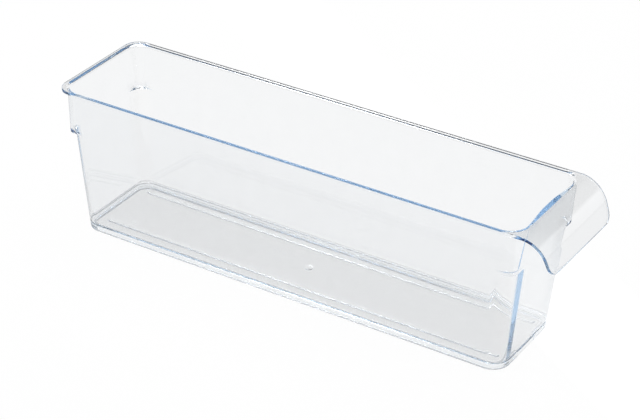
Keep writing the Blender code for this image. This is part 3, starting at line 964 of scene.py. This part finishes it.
@dataclass(frozen=True)
class ClearPlastic:
    """Clear styrene-like plastic: glassy walls, a bluish depth, painted white highlight lines and a hazy
    floor.
    """

    relief: FloorRelief
    half: float
    front: float
    rear: float
    floor_top: float
    ior: float = 1.55
    tint: tuple[float, float, float, float] = (0.18, 0.55, 0.88, 1.0)
    density: float = 9.5
    smooth: float = 0.012
    # Painted white highlights over the floor's relief and along its fillet: their extra roughness and their
    # shares
    highlight_roughness: float = 0.10
    highlight_share: float = 0.85
    fillet_highlight_share: float = 0.45
    haze: float = 0.05
    ripple_scale: float = 28.0
    ripple_detail: float = 2.0
    ripple_height: float = 0.00004
    wear_scale: float = 84.0
    wear_detail: float = 3.0
    wear_span: tuple[float, float] = (0.35, 0.75)
    worn: float = 0.036
    worn_shade: tuple[float, float, float, float] = (0.975, 0.975, 0.975, 1.0)
    broad_span: tuple[float, float] = (0.35, 0.65)
    broad_least: float = 0.3
    mottle_scale: float = 240.0
    mottle_detail: float = 4.0
    mottle_span: tuple[float, float] = (0.40, 0.62)
    mottle_least: float = 0.2
    # Distances over or under the floor's face, and inside the walls, where a share fades
    floor_fade: tuple[float, float] = (0.0001, 0.0005)
    fillet_fade: tuple[float, float] = (0.0009, 0.0017)
    wall_fade: tuple[float, float] = (-0.0012, -0.0006)
    # Widths of the painted highlight lines and spots, as shares of each form's width or radius
    rib_shares: tuple[float, float] = (0.20, 0.50)
    nub_share: float = 1.5
    disc_share: float = 0.75
    spot_share: float = 0.6
    shadow_tint: tuple[float, float, float, float] = (0.945, 0.95, 0.955, 1.0)

    def material(self) -> bpy.types.Material:
        """Glass with a flow ripple, a volume that takes red first, and lighter shadows than glass casts.

        Returns:
            The material.
        """
        material = bpy.data.materials.new("clear_plastic")
        material.use_nodes = True
        nodes = Nodes(material.node_tree)
        surface = material.node_tree.nodes["Principled BSDF"]
        output = material.node_tree.nodes["Material Output"]
        surface.inputs["IOR"].default_value = self.ior
        where = nodes.add("ShaderNodeTexCoord").outputs["Object"]
        painted_highlights = self.painted_highlights(nodes, where)
        haze = self.floor_haze(nodes, where)
        # Painted white highlights and the floor's haze turn part of the glass into diffuse white
        highlight_and_haze = nodes.math("MAXIMUM", nodes.math("MULTIPLY", painted_highlights, self.highlight_share), haze)
        nodes.put(nodes.math("SUBTRACT", 1.0, highlight_and_haze), surface.inputs["Transmission Weight"])
        wear = nodes.noise(where, self.wear_scale, self.wear_detail)
        rough = nodes.ramp(wear, *self.wear_span, self.smooth, self.worn)
        rough = nodes.math("ADD", rough, nodes.math("MULTIPLY", painted_highlights, self.highlight_roughness))
        nodes.put(rough, surface.inputs["Roughness"])
        nodes.put(nodes.blend(wear, (1.0, 1.0, 1.0, 1.0), self.worn_shade), surface.inputs["Base Color"])
        bump = nodes.add("ShaderNodeBump")
        bump.inputs["Distance"].default_value = self.ripple_height
        nodes.put(nodes.noise(where, self.ripple_scale, self.ripple_detail), bump.inputs["Height"])
        nodes.put(bump.outputs[0], surface.inputs["Normal"])
        passing = nodes.add("ShaderNodeBsdfTransparent")
        nodes.put(self.shadow_tint, passing.inputs[0])
        path = nodes.add("ShaderNodeLightPath")
        mix = nodes.add("ShaderNodeMixShader")
        nodes.put(path.outputs["Is Shadow Ray"], mix.inputs[0])
        nodes.put(surface.outputs[0], mix.inputs[1])
        nodes.put(passing.outputs[0], mix.inputs[2])
        nodes.put(mix.outputs[0], output.inputs["Surface"])
        volume = nodes.add("ShaderNodeVolumeAbsorption")
        nodes.put(self.tint, volume.inputs["Color"])
        nodes.put(self.density, volume.inputs["Density"])
        nodes.put(volume.outputs[0], output.inputs["Volume"])
        return material

    def on_floor(self, nodes: Nodes, height: bpy.types.NodeSocket) -> bpy.types.NodeSocket:
        """Share that is 1 at the floor's top face and fades a little under and over it.

        Args:
            nodes: the material's tree.
            height: heights in metres.

        Returns:
            A share from 0 to 1.
        """
        near, far = self.floor_fade
        under = nodes.ramp(height, self.floor_top - far, self.floor_top - near, 0, 1)
        over = nodes.ramp(height, self.floor_top + near, self.floor_top + far, 1, 0)
        return nodes.math("MULTIPLY", under, over)

    def painted_highlights(self, nodes: Nodes, where: bpy.types.NodeSocket) -> bpy.types.NodeSocket:
        """Share of painted white highlight on the floor's top face over the ribs and marks, and on the
        floor's fillet.

        Args:
            nodes: the material's tree.
            where: places in metres.

        Returns:
            A share from 0 to 1.
        """
        relief = self.relief
        split = nodes.add("ShaderNodeSeparateXYZ")
        nodes.put(where, split.inputs[0])
        x, y, z = split.outputs
        from_middle = nodes.math("ABSOLUTE", x)
        off_rib = nodes.math("ABSOLUTE", nodes.math("SUBTRACT", from_middle, relief.rib_spacing / 2))
        ribs = nodes.ramp(off_rib, *(relief.rib_width * share for share in self.rib_shares), 1, 0)
        ends = nodes.math("MAXIMUM", nodes.math("SUBTRACT", self.front + relief.rib_front, y),
                          nodes.math("SUBTRACT", y, self.rear - relief.rib_rear))
        total = nodes.math("MULTIPLY", ribs, nodes.ramp(ends, 0, relief.rib_edge, 1, 0))
        spots = ((0.0, (self.front + self.rear) / 2, relief.nub_radius * self.nub_share),
                 (relief.disc_from_rib - relief.rib_spacing / 2, self.rear - relief.disc_from_rear,
                  relief.disc_radius * self.disc_share))
        for spot_x, spot_y, radius in spots:
            across = nodes.math("POWER", nodes.math("SUBTRACT", x, spot_x), 2)
            along = nodes.math("POWER", nodes.math("SUBTRACT", y, spot_y), 2)
            away = nodes.math("SQRT", nodes.math("ADD", across, along))
            spot = nodes.ramp(away, radius * self.spot_share, radius, 1, 0)
            total = nodes.math("MAXIMUM", total, spot)
        total = nodes.math("MULTIPLY", total, self.on_floor(nodes, z))
        # A weaker painted highlight line along the floor's fillet, kept off the outer face of the walls
        outside = nodes.math("SUBTRACT", from_middle, self.half)
        outside = nodes.math("MAXIMUM", outside, nodes.math("SUBTRACT", y, self.rear))
        outside = nodes.math("MAXIMUM", outside, nodes.math("SUBTRACT", self.front, y))
        starts = nodes.ramp(z, *(self.floor_top + rise for rise in self.floor_fade), 0, 1)
        ends = nodes.ramp(z, *(self.floor_top + rise for rise in self.fillet_fade), 1, 0)
        fillet = nodes.math("MULTIPLY", starts, ends)
        inside = nodes.ramp(outside, *self.wall_fade, self.fillet_highlight_share, 0)
        fillet = nodes.math("MULTIPLY", fillet, inside)
        return nodes.math("MAXIMUM", total, fillet)

    def floor_haze(self, nodes: Nodes, where: bpy.types.NodeSocket) -> bpy.types.NodeSocket:
        """Share of haze: fine mottling, only on the floor's top face.

        Args:
            nodes: the material's tree.
            where: places in metres.

        Returns:
            A share from 0 to 1.
        """
        split = nodes.add("ShaderNodeSeparateXYZ")
        nodes.put(where, split.inputs[0])
        clouds = nodes.noise(where, self.ripple_scale, self.ripple_detail)
        broad = nodes.ramp(clouds, *self.broad_span, self.broad_least, 1.0)
        specks = nodes.noise(where, self.mottle_scale, self.mottle_detail)
        fine = nodes.ramp(specks, *self.mottle_span, self.mottle_least, 1.0)
        grain = nodes.math("MULTIPLY", broad, fine)
        on_top = self.on_floor(nodes, split.outputs[2])
        return nodes.math("MULTIPLY", nodes.math("MULTIPLY", on_top, grain), self.haze)


@dataclass(frozen=True)
class Studio:
    """A white floor before a white backdrop, in a room that is dark elsewhere, under a bright ceiling."""

    floor_half: float = 8.0
    # The floor's brightness for the camera, through the plastic, and mirrored in it
    seen: float = 1.0
    through: float = 0.945
    mirrored: float = 0.45
    # A brighter strip of floor in front of the bin, mirrored in its front
    side_mirrored: float = 1.05
    side_way: tuple[float, float] = (0.84, -0.54)
    side_starts: tuple[float, float] = (0.06, 0.11)
    side_ends: tuple[float, float] = (0.17, 0.25)
    # Share of real light and shadow on the floor
    seen_shade: float = 0.05
    through_shade: float = 0.05
    paint: float = 0.95
    paint_rough: float = 0.9
    table_reach: float = 0.9
    table_end: float = 1.4
    room: float = 0.06
    backdrop: float = 1.0
    backdrop_way: tuple[float, float] = (0.84, 0.54)
    backdrop_reach: tuple[float, float] = (0.1, 0.4)
    backdrop_low: float = 0.35
    backdrop_high: float = 0.50
    skyline_low: float = 0.15
    skyline_high: float = 0.30
    ceiling: float = 1.6
    ceiling_low: float = 0.66
    ceiling_high: float = 0.80
    turn_span: tuple[float, float] = (0.25, 0.75)
    bounces: int = 64
    clear_bounces: int = 16
    key_place: tuple[float, float, float] = (0.36, 0.60, 1.16)
    key_aim: tuple[float, float, float] = (0.0, 0.0, 0.0)
    key_size: tuple[float, float] = (0.30, 0.30)
    key_watts: float = 3.0

    def build(self) -> None:
        """Set up the floor, the surround, the light paths and the lamp."""
        self.floor()
        self.surround()
        self.light_paths()
        self.lamp("key", self.key_place, self.key_aim, self.key_size, self.key_watts)

    def floor(self) -> bpy.types.Object:
        """The floor that the bin stands on.

        Returns:
            The floor.
        """
        half = self.floor_half
        mesh = bpy.data.meshes.new("floor")
        corners = [(-half, -half, 0), (half, -half, 0), (half, half, 0), (-half, half, 0)]
        mesh.from_pydata(corners, [], [(0, 1, 2, 3)])
        floor = bpy.data.objects.new("floor", mesh)
        bpy.context.scene.collection.objects.link(floor)
        mesh.materials.append(self.floor_material())
        floor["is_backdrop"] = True
        return floor

    def floor_material(self) -> bpy.types.Material:
        """White paint that glows at one brightness for each kind of ray, with a small share of real light.

        Returns:
            The material.
        """
        material = bpy.data.materials.new("floor")
        material.use_nodes = True
        nodes = Nodes(material.node_tree)
        surface = material.node_tree.nodes["Principled BSDF"]
        surface.inputs["Base Color"].default_value = (self.paint, self.paint, self.paint, 1)
        surface.inputs["Roughness"].default_value = self.paint_rough
        surface.inputs["Specular IOR Level"].default_value = 0.0
        path = nodes.add("ShaderNodeLightPath")
        camera = path.outputs["Is Camera Ray"]
        passing = path.outputs["Is Transmission Ray"]
        where = nodes.add("ShaderNodeTexCoord").outputs["Object"]
        away = nodes.add("ShaderNodeVectorMath", operation="LENGTH")
        nodes.put(where, away.inputs[0])
        near = nodes.ramp(away.outputs["Value"], self.table_reach, self.table_end, 1, self.room)
        behind = self.facing(nodes, where, self.backdrop_way, *self.backdrop_reach)
        near = nodes.math("MAXIMUM", near, behind)
        near = nodes.math("MAXIMUM", near, self.straight(nodes, path))
        beside = self.facing(nodes, where, self.side_way, *self.side_starts)
        beyond = self.facing(nodes, where, self.side_way, *self.side_ends)
        beside = nodes.math("SUBTRACT", beside, beyond)
        mirrored = nodes.ramp(beside, 0, 1, self.mirrored, self.side_mirrored)
        lit = nodes.math("MULTIPLY", passing, self.through)
        unlit = nodes.math("MULTIPLY", mirrored, nodes.math("SUBTRACT", 1, passing))
        level = nodes.math("MULTIPLY", near, nodes.math("MAXIMUM", lit, unlit))
        glow = nodes.add("ShaderNodeEmission")
        strength = nodes.math("MAXIMUM", level, nodes.math("MULTIPLY", camera, self.seen))
        nodes.put(strength, glow.inputs["Strength"])
        clear = nodes.math("MAXIMUM", passing, path.outputs["Is Glossy Ray"])
        share = nodes.math("MULTIPLY", clear, 1 - self.through_shade)
        share = nodes.math("MAXIMUM", share, nodes.math("MULTIPLY", camera, 1 - self.seen_shade))
        mix = nodes.add("ShaderNodeMixShader")
        nodes.put(share, mix.inputs[0])
        nodes.put(surface.outputs[0], mix.inputs[1])
        nodes.put(glow.outputs[0], mix.inputs[2])
        nodes.put(mix.outputs[0], material.node_tree.nodes["Material Output"].inputs["Surface"])
        return material

    def facing(self, nodes: Nodes, where: bpy.types.NodeSocket,
               way: tuple[float, float], low: float, high: float) -> bpy.types.NodeSocket:
        """How far a place or direction lies towards one side of the room.

        Args:
            nodes: the tree to add to.
            where: a place or a direction.
            way: level direction of that side.
            low: reach that way where the share starts.
            high: reach that way where the share is 1.

        Returns:
            A share from 0 to 1.
        """
        split = nodes.add("ShaderNodeSeparateXYZ")
        nodes.put(where, split.inputs[0])
        across = nodes.math("MULTIPLY", split.outputs["X"], way[0])
        along = nodes.math("MULTIPLY", split.outputs["Y"], way[1])
        return nodes.ramp(nodes.math("ADD", across, along), low, high, 0, 1)

    def straight(self, nodes: Nodes, path: bpy.types.Node) -> bpy.types.NodeSocket:
        """1 for a view through the plastic that met no reflection on its way."""
        unturned = nodes.ramp(path.outputs["Glossy Depth"], *self.turn_span, 1, 0)
        return nodes.math("MULTIPLY", path.outputs["Is Transmission Ray"], unturned)

    def surround(self) -> None:
        """White for the camera; for other rays a dark room under a bright ceiling."""
        world = bpy.data.worlds.new("surround")
        world.use_nodes = True
        bpy.context.scene.world = world
        nodes = Nodes(world.node_tree)
        where = nodes.add("ShaderNodeTexCoord")
        split = nodes.add("ShaderNodeSeparateXYZ")
        nodes.put(where.outputs["Generated"], split.inputs[0])
        height = split.outputs["Z"]
        level = nodes.ramp(height, self.ceiling_low, self.ceiling_high, self.room, self.ceiling)
        low = nodes.ramp(height, self.backdrop_low, self.backdrop_high, self.backdrop, 0)
        ahead = self.facing(nodes, where.outputs["Generated"], self.backdrop_way, *self.backdrop_reach)
        level = nodes.math("MAXIMUM", level, nodes.math("MULTIPLY", low, ahead))
        path = nodes.add("ShaderNodeLightPath")
        skyline = nodes.ramp(height, self.skyline_low, self.skyline_high, self.through, 0)
        level = nodes.math("MAXIMUM", level, nodes.math("MULTIPLY", skyline, self.straight(nodes, path)))
        strength = nodes.math("MAXIMUM", path.outputs["Is Camera Ray"], level)
        nodes.put(strength, world.node_tree.nodes["Background"].inputs["Strength"])
        world.node_tree.nodes["Background"].inputs["Color"].default_value = (1, 1, 1, 1)

    def lamp(self, name: str, place: tuple[float, float, float], aim: tuple[float, float, float],
             size: tuple[float, float], watts: float) -> bpy.types.Object:
        """A soft rectangular lamp aimed at a point.

        Args:
            name: name of the lamp.
            place: where it hangs.
            aim: the point that it faces.
            size: its two sides in metres.
            watts: its power.

        Returns:
            The lamp.
        """
        data = bpy.data.lights.new(name, "AREA")
        data.shape = "RECTANGLE"
        data.size, data.size_y = size
        data.energy = watts
        lamp = bpy.data.objects.new(name, data)
        lamp.location = place
        lamp.rotation_euler = (Vector(aim) - Vector(place)).to_track_quat("-Z", "Y").to_euler()
        bpy.context.scene.collection.objects.link(lamp)
        return lamp

    def light_paths(self) -> None:
        """Let light run long inside the clear walls, where it bounces many times between the faces."""
        cycles = bpy.context.scene.cycles
        cycles.max_bounces = self.bounces
        cycles.glossy_bounces = self.bounces
        cycles.transmission_bounces = self.bounces
        cycles.transparent_max_bounces = self.clear_bounces


def main() -> tuple[Vector, Vector]:
    """Load the frame, build the bin and its studio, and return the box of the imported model.

    Returns:
        The low and the high corner of that box.
    """
    logging.basicConfig(level=logging.INFO, format="%(name)s: %(message)s")
    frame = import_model()
    low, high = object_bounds()
    Viewpoint().camera()
    tub = Tub(length=high[1] - low[1], width=high[0] - low[0], height=high[2] - low[2])
    moulding = Moulding(tub, Lip(tub), FloorRelief())
    piece = moulding.build()
    half, front, rear = tub.planes(0.0)
    plastic = ClearPlastic(moulding.relief, half, front, rear, tub.floor_top)
    piece.data.materials.append(plastic.material())
    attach(piece, "root")
    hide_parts(*sorted(frame["nodes"]))
    log.info("%s: %d faces", piece.name, len(piece.data.polygons))
    Studio().build()
    bpy.context.scene.view_settings.view_transform = "Standard"
    return low, high


if __name__ == "__main__":
    packed = main()
